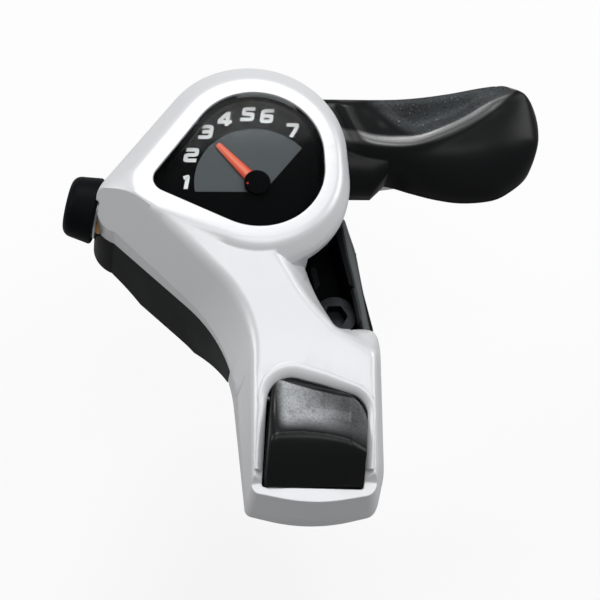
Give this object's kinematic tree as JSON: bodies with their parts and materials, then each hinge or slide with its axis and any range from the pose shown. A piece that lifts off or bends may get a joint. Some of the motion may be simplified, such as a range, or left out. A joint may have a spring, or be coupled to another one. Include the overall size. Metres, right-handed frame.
{
  "type": "gear shifter",
  "caption": "Thumb-lever index gear shifter for a flat handlebar: silver cover with a gear dial and needle, black lever, release button, cable adjuster and split clamp.",
  "frame": {"origin": "middle of the handlebar clamp's bore", "axes": "+X along the handlebar towards the grip, +Y forward away from the rider, +Z out of the dial"},
  "size_m": [0.0903, 0.0852, 0.0503],
  "materials": {
    "silver_paint": "satin silver paint on moulded plastic",
    "black_plastic": "fine-grained black moulding",
    "black_satin": "smooth black moulding",
    "clear_plastic": "clear window",
    "dial_black": "printed black dial",
    "needle_orange": "orange-red moulding",
    "nylon": "grey nylon",
    "steel": "zinc-plated steel",
    "dark_steel": "black-finished steel",
    "bronze": "sintered bronze"
  },
  "bodies": {
    "housing": {"base_bracket": "black_satin", "top_cover": "silver_paint", "dial_window": "clear_plastic", "dial_plate": "dial_black", "pivot_axle": "steel", "axle_nut": "steel", "axle_washer": "steel", "thrust_washer": "nylon", "lever_spring": "steel", "holding_pawl_pin": "steel", "holding_pawl_spring": "steel", "button_pin": "steel", "button_spring": "steel", "adjuster_bush": "bronze", "adjuster_washer": "steel", "clamp_bolt": "dark_steel", "clamp_nut": "steel", "cover_screws": "steel"},
    "lever": {"lever_plate": "steel", "lever_bush": "bronze", "thumb_paddle": "black_plastic", "lever_screws": "steel", "feed_pawl_pin": "steel", "feed_pawl_spring": "steel"},
    "feed_pawl": {"feed_pawl": "steel"},
    "drum": {"cable_drum": "nylon", "ratchet_ring": "steel", "pointer_carrier": "nylon", "pointer": "needle_orange", "pointer_hub": "dial_black"},
    "button": {"release_button": "black_plastic"},
    "release_link": {"release_link": "steel"},
    "holding_pawl": {"holding_pawl": "steel"},
    "adjuster": {"adjuster_knob": "black_satin", "adjuster_screw": "steel"}
  },
  "joints": [
    {"name": "lever_swing", "type": "hinge", "parent": "housing", "child": "lever", "pos_m": [-0.0126, 0.0052, 0.02015], "axis": [0, 0, 1], "range_deg": [0, 40], "stiffness_Nm_per_rad": 0.1, "springref_deg": -34.38, "deforming": ["lever_spring"]},
    {"name": "drum_index", "type": "hinge", "parent": "housing", "child": "drum", "pos_m": [-0.0126, 0.0052, 0.02495], "axis": [0, 0, 1], "range_deg": [-80, 40]},
    {"name": "feed_pawl_swing", "type": "hinge", "parent": "lever", "child": "feed_pawl", "pos_m": [-0.0045, 0.0205, 0.0223], "axis": [0, 0, -1], "range_deg": [0, 8], "stiffness_Nm_per_rad": 0.002, "springref_deg": -17.19, "deforming": ["feed_pawl_spring"]},
    {"name": "button_press", "type": "hinge", "parent": "housing", "child": "button", "pos_m": [-0.0041, -0.0343, 0.027], "axis": [1, 0, 0], "range_deg": [0, 8], "stiffness_Nm_per_rad": 0.5, "springref_deg": -4.58, "deforming": ["button_spring"]},
    {"name": "link_slide", "type": "slide", "parent": "housing", "child": "release_link", "axis": [0, 1, 0], "range_m": [0, 0.00072]},
    {"name": "holding_pawl_swing", "type": "hinge", "parent": "housing", "child": "holding_pawl", "pos_m": [-0.0188, -0.0114, 0.0223], "axis": [0, 0, -1], "range_deg": [0, 17], "deforming": ["holding_pawl_spring"]},
    {"name": "adjuster_turn", "type": "hinge", "parent": "housing", "child": "adjuster", "pos_m": [-0.04279, 0.00397, 0.02495], "axis": [-0.9703, 0.2419, 0], "continuous": true}
  ],
  "couplings": [
    {"joint": "link_slide", "follows": "button_press", "m_per_rad": 0.0047},
    {"joint": "holding_pawl_swing", "follows": "button_press", "ratio": 2}
  ]
}
